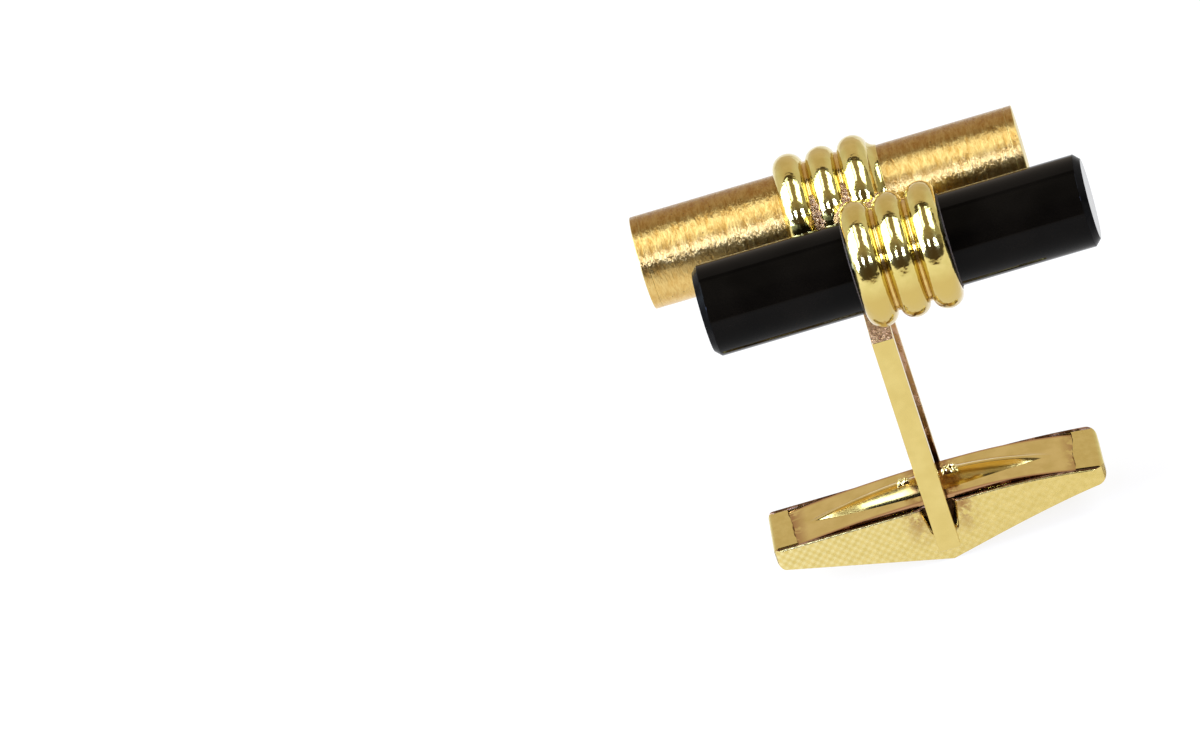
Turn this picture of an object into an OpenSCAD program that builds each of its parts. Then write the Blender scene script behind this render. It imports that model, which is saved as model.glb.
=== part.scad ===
// Baton cufflink: a satin gold tube and an onyx rod held side by side in ribbed collars,
// on a two-legged post with a swivelling boat-shaped toggle.
// X runs along the rods, Y along the toggle's pivot, Z from the toggle up to the rods.
// The origin is under the middle of the pair of rods, level with the toggle's keel.

/* [Rods] */
// Length of each rod
rod_len = 21.2; // [16:0.1:28]
// Outside diameter of the gold tube
tube_d = 5.1; // [4.4:0.05:5.4]
// Wall of the gold tube
tube_wall = 0.35; // [0.2:0.05:0.8]
// Thickness of the disc that closes each end of the tube
cap_thick = 0.45; // [0.25:0.05:0.9]
// Diameter of the onyx rod
onyx_d = 5; // [4.4:0.05:5.3]
// Polished chamfer round each end of the onyx rod
onyx_chamfer = 0.35; // [0.1:0.05:0.7]
// Lengthwise stagger between the middles of the two rods
rod_stagger = 2.8; // [0:0.1:5]

/* [Collars] */
// How far the ribs stand proud of their sleeve
rib_proud = 0.66; // [0.5:0.02:0.74]
// How much the ribs of both collars together are dressed flat where the collars meet
collar_dressed = 0.12; // [0.06:0.02:0.3]
// Wall of the sleeve that carries the ribs
sleeve_wall = 0.25; // [0.15:0.01:0.4]
// Cement layer between the onyx rod and its sleeve
cement_thick = 0.05; // [0.03:0.01:0.15]
// Width of one rib wire
rib_w = 1.56; // [1.2:0.02:1.74]
// Distance from one rib to the next
rib_pitch = 1.78; // [1.76:0.01:2.2]
// Length of the gold tube's sleeve left bare beyond its outer ribs
gold_lip = 0.5; // [0.05:0.01:0.8]
// Length of the onyx rod's sleeve left bare beyond its outer ribs
onyx_lip = 0.12; // [0.05:0.01:0.8]
// Lengthwise stagger between the middles of the two collars
collar_stagger = 3; // [1:0.05:4]
// Shift of the pair of collars from the middle of the rods, towards the onyx side
collar_shift = 0.17; // [0:0.01:1]

/* [Post] */
// Width of the post strap, along the rods
strap_w = 1.2; // [1.1:0.05:1.6]
// Thickness of the post strap
strap_thick = 0.85; // [0.6:0.05:1.1]
// Radius inside the bend under the collars
bend_r = 1.5; // [0.5:0.1:2]
// Flat cut across the outside of each bend
bend_chamfer = 1.55; // [0.6:0.05:1.8]
// Clear height from the toggle's rim up to the strap, where the cuff goes
cuff_gap = 12.3; // [9:0.1:16]
// Length of leg below the pivot
leg_tail = 1.25; // [0.7:0.05:1.6]
// Offset of the post from the middle of the rods, along them
post_x = -0.7; // [-1.5:0.1:1.5]

/* [Toggle] */
// Length of the toggle
toggle_len = 18.4; // [15:0.1:22]
// Width of the toggle
toggle_w = 4.2; // [4:0.05:5.2]
// Depth from rim to keel at the middle
toggle_depth = 3.55; // [3.4:0.05:4.2]
// Height of each end
toggle_end_h = 1.2; // [1:0.05:1.6]
// Thickness of the stamped sheet
sheet = 0.28; // [0.2:0.01:0.3]
// Length of the tab that folds over each end
tab_len = 1.35; // [0.8:0.05:2.2]
// How far each side wall is dimpled inwards beside the leg
dimple_in = 0.3; // [0.15:0.05:0.4]
// Half width of the dimple at the rim
dimple_half = 1.1; // [1:0.05:1.4]
// Half width of the dimple at its foot
dimple_foot_half = 0.75; // [0.6:0.05:1]
// Height of the dimple
dimple_drop = 1.7; // [1.6:0.05:2]

/* [Spring plate] */
// Thickness of the spring plate
plate_thick = 0.2; // [0.12:0.01:0.24]
// How far the middle of the bowed plate stands clear above the toggle's rim
plate_rise = 0.08; // [0.06:0.01:0.3]
// How high the stiffening ridge stands above the plate at the middle
ridge_high = 0.45; // [0.42:0.01:0.6]
// Flat margin of the plate on each side of the ridge at the middle
ridge_margin = 0.32; // [0.2:0.02:0.5]
// Distance from the post to the pointed end of each half of the ridge
ridge_reach = 6.4; // [5:0.1:7]

/* [Pivot] */
// Diameter of the pivot pin
pin_d = 0.7; // [0.5:0.05:0.8]
// Depth of the pivot below the toggle's rim
pivot_drop = 0.9; // [0.85:0.01:0.95]
// Diameter of the spacer between each leg and the toggle
spacer_d = 1.1; // [0.95:0.05:1.2]

/* [Clearances] */
// Gap between pieces that only touch or are soldered together
touch_gap = 0.02; // [0.01:0.01:0.05]
// Radial running clearance of the toggle on the pin
pivot_clear = 0.05; // [0.02:0.01:0.1]
// Gap between each side wall of the toggle and its leg
side_gap = 0.42; // [0.15:0.01:0.6]
// Gap between each end of the cam and the dimpled wall
cam_gap = 0.15; // [0.08:0.01:0.2]
// Gap round the spring plate
plate_gap = 0.05; // [0.03:0.01:0.1]
// Slit between each end tab and the side walls
tab_slit = 0.06; // [0.03:0.01:0.12]
// Depth of the solder bed between the strap and the collars
solder_gap = 0.18; // [0.1:0.01:0.4]

/* [Hidden] */

$fn = 96;

// How far every cut runs past the face that it starts from
overrun = sheet;
corner_steps = 8;

// Rods and collars
cap_edge_share = 0.15;
tube_r = tube_d / 2;
onyx_r = onyx_d / 2;
tube_body_len = rod_len - 2 * cap_thick;
gold_x = -rod_stagger / 2;
onyx_x = rod_stagger / 2;
gold_sleeve_r = tube_r + sleeve_wall;
onyx_sleeve_r = onyx_r + cement_thick + sleeve_wall;
gold_collar_r = gold_sleeve_r + rib_proud;
onyx_collar_r = onyx_sleeve_r + rib_proud;
gold_y = gold_collar_r - collar_dressed / 2;
onyx_y = collar_dressed / 2 - onyx_collar_r;
ribs_len = 2 * rib_pitch + rib_w;
gold_collar_x = collar_shift - collar_stagger / 2;
onyx_collar_x = collar_shift + collar_stagger / 2;

// Post
leg_corner_share = 0.15;
leg_in = toggle_w / 2 + side_gap;
leg_out = leg_in + strap_thick;
pivot_z = toggle_depth - pivot_drop;
leg_end = pivot_z - leg_tail;
leg_corner = strap_thick * leg_corner_share;
bridge_under = toggle_depth + cuff_gap;
bridge_top = bridge_under + strap_thick;
bridge_half = leg_out - bend_chamfer;
rod_z = bridge_top + sqrt(pow(gold_collar_r + solder_gap, 2) - pow(gold_y - bridge_half, 2));

// Solder: where it starts and ends beside the collars, as shares of their radius
seam_inner_share = 0.28;
seam_outer_share = 0.46;
bed_high_share = 0.3;
seam_in = gold_collar_r * seam_inner_share;
seam_out = gold_collar_r * seam_outer_share;
seam_x0 = onyx_collar_x - ribs_len / 2;
seam_x1 = gold_collar_x + ribs_len / 2;

// Toggle
end_corner_share = 0.42;
keel_corner_share = 0.5;
dimple_slope_share = 0.8;
toggle_half = toggle_len / 2;
mouth_half = toggle_half - tab_len;
end_low = toggle_depth - toggle_end_h;
end_corner = toggle_end_h * end_corner_share;
keel_corner = sheet * keel_corner_share;
keel_slope = atan(end_low / toggle_half);
wall_in = toggle_w / 2 - sheet;
dimple_floor = toggle_w / 2 - dimple_in;
dimple_slope = dimple_in * dimple_slope_share;

// Spring plate: an arc that is held down by both tabs and is free in the middle
plate_bow = plate_rise + plate_thick + touch_gap + sheet;
plate_edge_z = toggle_depth - sheet - touch_gap;
plate_mid_z = plate_edge_z + plate_bow;
plate_arc_r = (pow(mouth_half, 2) + pow(plate_bow, 2)) / (2 * plate_bow);
plate_arc_z = plate_mid_z - plate_arc_r;
plate_half = toggle_half - sheet - plate_gap;
plate_half_w = wall_in - plate_gap;
ridge_half = dimple_floor - sheet - plate_gap - ridge_margin;
ridge_r = (pow(ridge_half, 2) + pow(ridge_high, 2)) / (2 * ridge_high);
ridge_axis_z = plate_mid_z + ridge_high - ridge_r;
ridge_tip_r = plate_arc_z + sqrt(pow(plate_arc_r, 2) - pow(ridge_reach, 2)) - ridge_axis_z;

// Pivot
pin_r = pin_d / 2;
cam_half = plate_mid_z - plate_thick - 2 * touch_gap - pivot_z;
cam_half_len = dimple_floor - sheet - cam_gap;
spacer_in = dimple_floor + 2 * touch_gap;

// Finishes
satin_gold = [0.80, 0.66, 0.38];
bright_gold = [0.85, 0.68, 0.30];
solder_gold = [0.66, 0.47, 0.32];
onyx_black = [0.03, 0.03, 0.035];
cement_brown = [0.16, 0.11, 0.08];

function unit(v) = v / norm(v);
function turned(v, a) = [v.x * cos(a) - v.y * sin(a), v.x * sin(a) + v.y * cos(a)];

// One corner of an outline, as the points of an arc that touches both sides
function corner_arc(a, b, c, r) = r == 0 ? [b] :
    let (u = unit(a - b), v = unit(c - b), half = acos(u * v) / 2,
        centre = b + unit(u + v) * r / sin(half),
        start = b + u * r / tan(half) - centre,
        sweep = (180 - 2 * half) * (u.x * v.y - u.y * v.x > 0 ? -1 : 1))
    [for (i = [0:corner_steps]) centre + turned(start, sweep * i / corner_steps)];

// An outline with rounded corners: each corner is [x, y, radius]
function rounded(corners) =
    let (n = len(corners), at = function (i) [corners[i % n].x, corners[i % n].y])
    [for (i = [0:n - 1]) each corner_arc(at(i + n - 1), at(i), at(i + 1), corners[i].z)];

// Lays a shape that was drawn along Z on a rod's axis, its middle at x
module on_rod(x, y) {
    translate([x, y, rod_z]) rotate([0, 90, 0]) children();
}

// A cylinder along the pivot's direction, over the post, between two places on Y
module across(r, z, y0, y1) {
    translate([post_x, y0, z]) rotate([-90, 0, 0]) cylinder(r = r, h = y1 - y0);
}

// An outline in X and Z over the post, given width along Y
module slab_y(points, width) {
    translate([post_x, width / 2, 0]) rotate([90, 0, 0]) linear_extrude(height = width)
        polygon(points);
}

// A box over the post that is even about X and Y
module post_box(half_x, half_y, z0, z1) {
    translate([post_x - half_x, -half_y, z0]) cube([2 * half_x, 2 * half_y, z1 - z0]);
}

module gold_tube() {
    color(satin_gold) on_rod(gold_x, gold_y) translate([0, 0, -tube_body_len / 2]) difference() {
        cylinder(r = tube_r, h = tube_body_len);
        translate([0, 0, -overrun]) cylinder(r = tube_r - tube_wall, h = tube_body_len + 2 * overrun);
    }
}

module gold_end_cap(side) {
    edge = cap_thick * cap_edge_share;
    color(satin_gold) translate([gold_x + side * tube_body_len / 2, gold_y, rod_z])
        rotate([0, side * 90, 0]) rotate_extrude()
            polygon([[0, 0], [tube_r, 0], [tube_r, cap_thick - edge], [tube_r - edge, cap_thick],
                [0, cap_thick]]);
}

module gold_end_cap_left() { gold_end_cap(-1); }
module gold_end_cap_right() { gold_end_cap(1); }

module onyx_rod() {
    color(onyx_black) on_rod(onyx_x, onyx_y) translate([0, 0, -rod_len / 2]) rotate_extrude()
        polygon([[0, 0], [onyx_r - onyx_chamfer, 0], [onyx_r, onyx_chamfer],
            [onyx_r, rod_len - onyx_chamfer], [onyx_r - onyx_chamfer, rod_len], [0, rod_len]]);
}

// A plain tube round a rod, as long as the three ribs and a bare lip at each end
module sleeve(inner, outer, x, y, lip) {
    len = ribs_len + 2 * lip;
    on_rod(x, y) translate([0, 0, -len / 2]) difference() {
        cylinder(r = outer, h = len);
        translate([0, 0, -overrun]) cylinder(r = inner, h = len + 2 * overrun);
    }
}

// One wire bent round the sleeve, dressed flat where it would run into the other collar
module rib(inner, x, y) {
    crest = inner + rib_proud;
    difference() {
        on_rod(x, y) rotate_extrude() translate([crest - rib_w / 2, 0]) circle(d = rib_w);
        on_rod(x, y) translate([0, 0, -rib_w]) cylinder(r = inner, h = 2 * rib_w);
        translate([x - rib_w, y > 0 ? -2 * crest : 0, rod_z - 2 * crest])
            cube([2 * rib_w, 2 * crest, 4 * crest]);
    }
}

module gold_collar_sleeve() {
    color(bright_gold) sleeve(tube_r, gold_sleeve_r, gold_collar_x, gold_y, gold_lip);
}

module gold_collar_rib(place) {
    color(bright_gold) rib(gold_sleeve_r, gold_collar_x + place * rib_pitch, gold_y);
}

module gold_collar_rib_1() { gold_collar_rib(-1); }
module gold_collar_rib_2() { gold_collar_rib(0); }
module gold_collar_rib_3() { gold_collar_rib(1); }

module onyx_cement() {
    color(cement_brown) sleeve(onyx_r, onyx_r + cement_thick, onyx_collar_x, onyx_y, onyx_lip);
}

module onyx_collar_sleeve() {
    color(bright_gold)
        sleeve(onyx_r + cement_thick, onyx_sleeve_r, onyx_collar_x, onyx_y, onyx_lip);
}

module onyx_collar_rib(place) {
    color(bright_gold) rib(onyx_sleeve_r, onyx_collar_x + place * rib_pitch, onyx_y);
}

module onyx_collar_rib_1() { onyx_collar_rib(-1); }
module onyx_collar_rib_2() { onyx_collar_rib(0); }
module onyx_collar_rib_3() { onyx_collar_rib(1); }

// The room that both collars take up, touch gap included
module collar_room() {
    for (place = [[gold_y, gold_collar_r], [onyx_y, onyx_collar_r]])
        on_rod(collar_shift, place.x) translate([0, 0, -rod_len / 2])
            cylinder(r = place.y + touch_gap, h = rod_len);
}

// Solder that has run along the line where the collars meet
module seam_solder(side) {
    color(solder_gold) difference() {
        translate([seam_x0, -seam_out / 2, rod_z + (side > 0 ? seam_in : -seam_out)])
            cube([seam_x1 - seam_x0, seam_out, seam_out - seam_in]);
        collar_room();
    }
}

module seam_solder_top() { seam_solder(1); }
module seam_solder_bottom() { seam_solder(-1); }

// Two legs and the bridge under the collars, bent from one bar
module post_strap() {
    outline = rounded([
        [leg_in, leg_end, leg_corner], [leg_out, leg_end, leg_corner],
        [leg_out, bridge_top - bend_chamfer, 0], [bridge_half, bridge_top, 0],
        [-bridge_half, bridge_top, 0], [-leg_out, bridge_top - bend_chamfer, 0],
        [-leg_out, leg_end, leg_corner], [-leg_in, leg_end, leg_corner],
        [-leg_in, bridge_under, bend_r], [leg_in, bridge_under, bend_r]]);
    color(bright_gold) difference() {
        translate([post_x - strap_w / 2, 0, 0]) rotate([90, 0, 90])
            linear_extrude(height = strap_w) polygon(outline);
        across(pin_r, pivot_z, -leg_out - overrun, leg_out + overrun);
    }
}

// The solder bed between the bridge of the strap and both collars
module strap_solder() {
    color(solder_gold) difference() {
        post_box(strap_w / 2, bridge_half, bridge_top, bridge_top + gold_collar_r * bed_high_share);
        collar_room();
    }
}

module pivot_pin() {
    color(bright_gold) across(pin_r, pivot_z, -leg_out, leg_out);
}

// Square block fixed on the pin: the spring plate lies on one of its flats
module pivot_cam() {
    color(bright_gold) difference() {
        post_box(cam_half, cam_half_len, pivot_z - cam_half, pivot_z + cam_half);
        across(pin_r, pivot_z, -2 * cam_half_len, 2 * cam_half_len);
    }
}

module leg_spacer(side) {
    color(bright_gold) mirror([0, side > 0 ? 0 : 1, 0]) difference() {
        across(spacer_d / 2, pivot_z, spacer_in, leg_in);
        across(pin_r, pivot_z, spacer_in - overrun, leg_in + overrun);
    }
}

module leg_spacer_front() { leg_spacer(-1); }
module leg_spacer_rear() { leg_spacer(1); }

// The dimple's outline in X and Z, grown by an amount at its sides and foot
function dimple_outline(grow) = [
    [-dimple_half - grow, toggle_depth],
    [-dimple_foot_half - grow, toggle_depth - dimple_drop - grow],
    [dimple_foot_half + grow, toggle_depth - dimple_drop - grow],
    [dimple_half + grow, toggle_depth]];

// A block that narrows from its outline at y_wide to its outline at y_narrow
module dimple_block(y_wide, wide, y_narrow, narrow) {
    hull() {
        translate([0, y_wide - touch_gap / 2, 0]) slab_y(wide, touch_gap);
        translate([0, y_narrow + touch_gap / 2, 0]) slab_y(narrow, touch_gap);
    }
}

// The stamped shell: keel, side walls with their dimples, ends and the tabs over the top
module toggle_shell() {
    outer = rounded([
        [-toggle_half, toggle_depth, end_corner / 2], [-toggle_half, end_low, end_corner],
        [0, 0, keel_corner],
        [toggle_half, end_low, end_corner], [toggle_half, toggle_depth, end_corner / 2]]);
    in_half = toggle_half - sheet;
    in_keel = sheet / cos(keel_slope);
    in_low = in_keel + in_half * tan(keel_slope);
    in_top = toggle_depth - sheet;
    inner = rounded([
        [-in_half, in_top, 0], [-in_half, in_low, end_corner - sheet], [0, in_keel, 0],
        [in_half, in_low, end_corner - sheet], [in_half, in_top, 0]]);
    color(bright_gold) difference() {
        union() {
            difference() {
                slab_y(outer, toggle_w);
                slab_y(inner, 2 * wall_in);
                post_box(mouth_half, wall_in, in_top - overrun, toggle_depth + overrun);
            }
            for (side = [0, 1]) mirror([0, side, 0])
                dimple_block(toggle_w / 2, dimple_outline(sheet),
                    dimple_floor - sheet, dimple_outline(sheet - dimple_slope));
        }
        for (side = [0, 1]) mirror([0, side, 0]) {
            dimple_block(toggle_w / 2 + touch_gap, dimple_outline(0),
                dimple_floor, dimple_outline(-dimple_slope));
            translate([post_x - toggle_len, wall_in - tab_slit, in_top - touch_gap])
                cube([toggle_len + toggle_half - mouth_half, tab_slit, sheet + overrun]);
        }
        across(pin_r + pivot_clear, pivot_z, -toggle_w, toggle_w);
    }
}

// Both halves of the ridge: cones that run out where they meet the bowed plate
module ridge(inset) {
    for (side = [-1, 1])
        translate([post_x, 0, ridge_axis_z]) rotate([0, side * 90, 0])
            cylinder(r1 = ridge_r - inset, r2 = ridge_tip_r - inset, h = ridge_reach);
}

// The plate that closes the toggle: its ends lie under the tabs, its middle on the cam
module toggle_spring_plate() {
    color(bright_gold) difference() {
        union() {
            intersection() {
                post_box(plate_half, plate_half_w, 0, plate_mid_z + overrun);
                across(plate_arc_r, plate_arc_z, -toggle_w, toggle_w);
            }
            ridge(0);
        }
        across(plate_arc_r - plate_thick, plate_arc_z, -toggle_w, toggle_w);
        ridge(plate_thick);
    }
}

gold_tube();
gold_end_cap_left();
gold_end_cap_right();
gold_collar_sleeve();
gold_collar_rib_1();
gold_collar_rib_2();
gold_collar_rib_3();
onyx_rod();
onyx_cement();
onyx_collar_sleeve();
onyx_collar_rib_1();
onyx_collar_rib_2();
onyx_collar_rib_3();
seam_solder_top();
seam_solder_bottom();
post_strap();
strap_solder();
pivot_pin();
pivot_cam();
leg_spacer_front();
leg_spacer_rear();
toggle_shell();
toggle_spring_plate();
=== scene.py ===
# %% [markdown]
# A baton cufflink, dressed for its photograph
#
# The cufflink is two rods side by side, a satin gold tube and a rod of black onyx, held in
# ribbed collars on a two-legged post. A boat-shaped toggle turns on a pin between the legs.
# The CAD model already says where everything is. This lesson replaces its plain solids with
# finished surfaces, one piece at a time, and gives each metal the finish that a goldsmith
# would leave on it. All shapes are written in millimetres and stored in metres.

# %% Load the CAD frame and keep its box
import bpy
import math
import numpy as np
from mathutils import Matrix, Vector


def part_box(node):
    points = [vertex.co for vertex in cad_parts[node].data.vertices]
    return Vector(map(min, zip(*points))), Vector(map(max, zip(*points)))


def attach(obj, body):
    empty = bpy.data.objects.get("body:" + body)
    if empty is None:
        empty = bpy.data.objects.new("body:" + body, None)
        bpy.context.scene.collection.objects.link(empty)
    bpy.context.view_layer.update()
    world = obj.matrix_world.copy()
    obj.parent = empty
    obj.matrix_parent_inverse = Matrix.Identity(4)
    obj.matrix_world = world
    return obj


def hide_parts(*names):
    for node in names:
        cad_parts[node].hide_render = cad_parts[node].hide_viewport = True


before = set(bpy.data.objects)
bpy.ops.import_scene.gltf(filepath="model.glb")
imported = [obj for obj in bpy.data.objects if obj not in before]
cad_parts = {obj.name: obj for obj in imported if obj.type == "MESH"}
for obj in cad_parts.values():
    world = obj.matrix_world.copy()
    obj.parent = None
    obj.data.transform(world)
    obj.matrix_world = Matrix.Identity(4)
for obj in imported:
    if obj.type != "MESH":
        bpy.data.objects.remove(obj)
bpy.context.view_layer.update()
MM = 0.001


# %% [markdown]
# The camera
#
# The photograph looks down on the cufflink at about 31 degrees with a long lens, so the two
# rods run almost parallel in the picture. The lens is found from how quickly far things
# shrink. The cufflink stands right of the middle of the picture, and the camera is turned
# to put it there, rather than given a shifted lens, so that other views stay centred.

# %% Place the camera
IMAGE_W, IMAGE_H = 1200, 734
FOCAL_PX = 7455.6
SENSOR_MM = 36.0
AZIMUTH, ELEVATION, ROLL = (math.radians(value) for value in (3.35, 31.17, -18.01))
AIM = Vector((-0.7, 0.0, 10.0)) * MM
AIM_PIXEL = (901.7, 388.3)
DISTANCE = 400 * MM

axes = (Matrix.Rotation(AZIMUTH, 3, "Z") @ Matrix.Rotation(math.pi / 2 - ELEVATION, 3, "X")
        @ Matrix.Rotation(ROLL, 3, "Z"))
sight = Vector(((AIM_PIXEL[0] - IMAGE_W / 2) / FOCAL_PX,
                (IMAGE_H / 2 - AIM_PIXEL[1]) / FOCAL_PX, -1)).normalized()
turn = sight.rotation_difference(Vector((0, 0, -1))).to_matrix()
camera_data = bpy.data.cameras.new("camera")
camera_data.sensor_width = SENSOR_MM
camera_data.sensor_fit = "HORIZONTAL"
camera_data.lens = FOCAL_PX / IMAGE_W * SENSOR_MM
camera_data.clip_start = 0.01
camera_data.clip_end = 20
camera = bpy.data.objects.new("camera", camera_data)
bpy.context.scene.collection.objects.link(camera)
camera.matrix_world = (Matrix.Translation(AIM + axes.col[2] * DISTANCE)
                       @ (axes @ turn).normalized().to_4x4())
bpy.context.scene.camera = camera
bpy.context.scene.view_settings.view_transform = "Standard"
print("lens in mm:", round(camera_data.lens, 1))


# %% [markdown]
# The studio
#
# Polished metal shows the room. The long bright lenses on the ribs say what this room was:
# white paper below and behind, and in front a dim room that is brighter overhead. Three soft
# lamps hang high up, and three low ones are as blue as a window. The world is painted in
# those bands by the direction it is seen in, a little warmer straight ahead and straight
# behind. The lamps are real lamps, which also cast the shadow.

# %% Small helpers for shader nodes
def feed(sockets, values):
    """Fill input sockets: each value is a number, a colour or a socket to link."""
    for key, value in values.items():
        if isinstance(value, bpy.types.NodeSocket):
            value.id_data.links.new(value, sockets[key])
        else:
            sockets[key].default_value = (*value, 1) if isinstance(value, tuple) else value


def add(kind, inputs=None, tree=None, **settings):
    """Add a node of a kind, set its properties and feed its inputs. It goes into the tree of
    the first socket among them, or into a given tree."""
    inputs = inputs or {}
    sockets = [value for value in inputs.values() if isinstance(value, bpy.types.NodeSocket)]
    made = (tree or sockets[0].id_data).nodes.new("ShaderNode" + kind)
    for key, value in settings.items():
        setattr(made, key, value)
    feed(made.inputs, inputs)
    return made


def maths(operation, *values, clamp=False):
    """A Math node: each input is a number or a socket. Returns its output."""
    return add("Math", dict(enumerate(values)), operation=operation, use_clamp=clamp).outputs[0]


def ramp(value, stops):
    """A colour ramp over 0..1 from (place, colour) stops. Returns its colour output."""
    made = add("ValToRGB", {0: value})
    band = made.color_ramp
    while len(band.elements) < len(stops):
        band.elements.new(0.5)
    for element, (place, colour) in zip(band.elements, stops):
        element.position = place
        element.color = (*colour, 1)
    return made.outputs[0]


# %% Paint the world in bands
PAPER, ROOM, DIM = (0.80, 0.79, 0.76), (0.43, 0.42, 0.35), (0.09, 0.075, 0.055)
BANDS = [(0.00, PAPER), (0.01, DIM), (0.16, DIM), (0.24, (0.22, 0.21, 0.17)),
         (0.32, ROOM), (0.57, ROOM), (0.60, DIM), (0.635, DIM), (0.65, PAPER), (1.0, PAPER)]
WARM = [(0.30, (0.90, 0.78, 0.68)), (0.62, (1.0, 1.0, 1.0))]

world = bpy.data.worlds.new("studio")
bpy.context.scene.world = world
world.use_nodes = True
tree = world.node_tree
tree.nodes.clear()
towards = add("SeparateXYZ", {0: add("TexCoord", tree=tree).outputs["Generated"]}).outputs
angle = maths("ARCTAN2", towards["Z"], maths("MULTIPLY", towards["Y"], -1.0))
bands = ramp(maths("DIVIDE", angle, math.pi), BANDS)
warmth = ramp(maths("ABSOLUTE", towards["X"]), WARM)
room = add("MixRGB", {0: 1.0, 1: bands, 2: warmth}, blend_type="MULTIPLY")
rays = add("LightPath", tree=tree).outputs
seen = maths("MAXIMUM", rays["Is Camera Ray"], rays["Is Transmission Ray"])
studio = add("MixRGB", {0: seen, 1: room.outputs[0], 2: (1, 1, 1)})
background = add("Background", {0: studio.outputs[0]})
add("OutputWorld", {0: background.outputs[0]})
print("world bands:", len(BANDS))


# %% Hang the lamps
LAMP_AWAY = 300
LAMP_AIM = Vector((0, 0, 15))
COOL, BLUISH = (0.62, 0.77, 1.0), (0.42, 0.54, 1.0)


def soft_lamp(name, side, lift, wide, tall, radiance, colour):
    """A rectangular lamp that is seen from the cufflink at an angle to the side and lifted by
    an angle from the camera's side over the top, and that spans wide and tall degrees. Its
    power is its brightness times its area times pi."""
    turned_to = (Matrix.Rotation(math.radians(90 - lift), 4, "X")
                 @ Matrix.Rotation(math.radians(side), 4, "Y"))
    data = bpy.data.lights.new(name, "AREA")
    data.shape = "RECTANGLE"
    data.size = 2 * LAMP_AWAY * MM * math.tan(math.radians(wide) / 2)
    data.size_y = 2 * LAMP_AWAY * MM * math.tan(math.radians(tall) / 2)
    data.energy = radiance * math.pi * data.size * data.size_y
    data.color = colour
    made = bpy.data.objects.new(name, data)
    out = turned_to.col[2].to_3d()
    made.matrix_world = Matrix.Translation((LAMP_AIM + out * LAMP_AWAY) * MM) @ turned_to
    bpy.context.scene.collection.objects.link(made)
    print(name, "watts:", round(data.energy, 3))


soft_lamp("left_softbox", -54, 82, 60, 42, 8.0, COOL)
soft_lamp("right_softbox", 35, 84, 28, 38, 6.0, COOL)
soft_lamp("strip_lamp", -13, 85, 12, 42, 5.0, COOL)
soft_lamp("low_left", -58, 37, 24, 8, 53.0, BLUISH)
soft_lamp("low_middle", -14, 37, 9, 8, 44.0, BLUISH)
soft_lamp("low_right", 34, 37, 18, 8, 44.0, BLUISH)


# %% Lay the floor
FLOOR_HALF = 1.5
WHITE_SHARE = 0.85
floor_mesh = bpy.data.meshes.new("floor")
corners = [(-FLOOR_HALF, -FLOOR_HALF, 0), (FLOOR_HALF, -FLOOR_HALF, 0),
           (FLOOR_HALF, FLOOR_HALF, 0), (-FLOOR_HALF, FLOOR_HALF, 0)]
floor_mesh.from_pydata(corners, [], [(0, 1, 2, 3)])
floor = bpy.data.objects.new("floor", floor_mesh)
bpy.context.scene.collection.objects.link(floor)
paper = bpy.data.materials.new("white paper")
paper.use_nodes = True
tree = paper.node_tree
tree.nodes.clear()
rays = add("LightPath", tree=tree).outputs
mirrored = maths("MAXIMUM", rays["Is Glossy Ray"], rays["Is Transmission Ray"])
seen = maths("MAXIMUM", rays["Is Camera Ray"], mirrored)
shaded = add("BsdfDiffuse", {"Color": (0.93, 0.84, 0.70)}, tree)
white = add("Emission", {"Color": (1, 1, 1), "Strength": 1.0}, tree)
mixed = add("MixShader", {0: maths("MULTIPLY", seen, WHITE_SHARE), 1: shaded.outputs[0],
                          2: white.outputs[0]})
add("OutputMaterial", {0: mixed.outputs[0]})
floor_mesh.materials.append(paper)
print("floor:", floor.name)


# %% [markdown]
# Helpers for surfaces
#
# Nearly every piece here is a loft: a row of closed rings, each a list of points, joined by
# quads. A turned rod is rings of growing and shrinking radius, a bent strap is one outline
# repeated across its width, and a sheet is a thin ring repeated along its length. One helper
# turns rings into a closed mesh that faces outwards, and another rounds off the corners of an
# outline. A guard point on each side of a rounded corner keeps the flats next to it flat.

# %% Round the corners of an outline
GUARD = 0.02


def rounded(corners, steps=6, closed=True):
    """Outline whose corners are arcs. A corner is (a, b, radius): the arc touches both sides,
    so it starts radius / tan(half the corner's angle) before the corner, and its centre lies
    on the bisector. A radius of 0 keeps the corner and its two guard points."""
    points = []
    count = len(corners)
    for index, (a, b, radius) in enumerate(corners):
        here = np.array((a, b), float)
        if not closed and index in (0, count - 1):
            points.append(here[None])
            continue
        before = np.array(corners[index - 1][:2], float) - here
        after = np.array(corners[(index + 1) % count][:2], float) - here
        before_len, after_len = np.linalg.norm(before), np.linalg.norm(after)
        before, after = before / before_len, after / after_len
        half = math.acos(np.clip(before @ after, -1, 1)) / 2
        reach = radius / math.tan(half)
        guard = min(GUARD, before_len / 3, after_len / 3)
        if radius == 0:
            arc = here[None]
        else:
            bisector = (before + after) / np.linalg.norm(before + after)
            centre = here + bisector * radius / math.sin(half)
            start = here + before * reach - centre
            sweep = (math.pi - 2 * half) * (-1 if np.cross(before, after) > 0 else 1)
            turn_by = np.linspace(0, sweep, steps + 1)
            cos, sin = np.cos(turn_by), np.sin(turn_by)
            arc = centre + np.stack([start[0] * cos - start[1] * sin,
                                     start[0] * sin + start[1] * cos], 1)
        points += [(here + before * (reach + guard))[None], arc,
                   (here + after * (reach + guard))[None]]
    return np.concatenate(points)


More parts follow.
